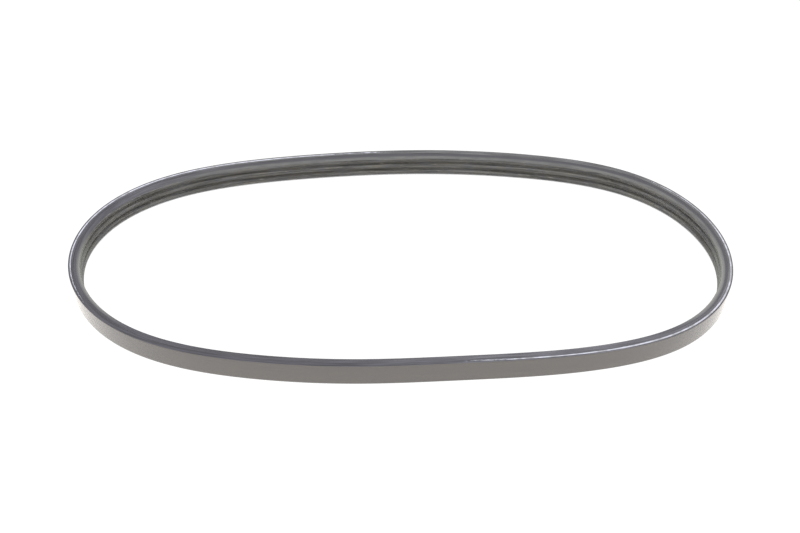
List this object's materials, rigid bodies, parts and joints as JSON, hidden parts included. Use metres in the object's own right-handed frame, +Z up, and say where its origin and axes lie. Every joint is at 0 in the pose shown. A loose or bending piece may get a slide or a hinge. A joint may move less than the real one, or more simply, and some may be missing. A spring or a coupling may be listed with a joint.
{
  "type": "alternator belt",
  "caption": "Endless V-ribbed rubber belt with a plain back and ribs on its inner side, which drives an alternator's pulley.",
  "frame": {"origin": "centre of the belt's oval, on the surface that it stands on", "axes": "+X along the oval's length, +Y from the near stretch to the far stretch, +Z up, across the belt's width"},
  "size_m": [0.2624, 0.1152, 0.0107],
  "materials": {
    "rubber": "matt, ground on the back and the ribs, cut at the edges, with a pale line of cord in the cut edge"
  },
  "bodies": {
    "root": {"belt": "rubber"}
  },
  "joints": []
}
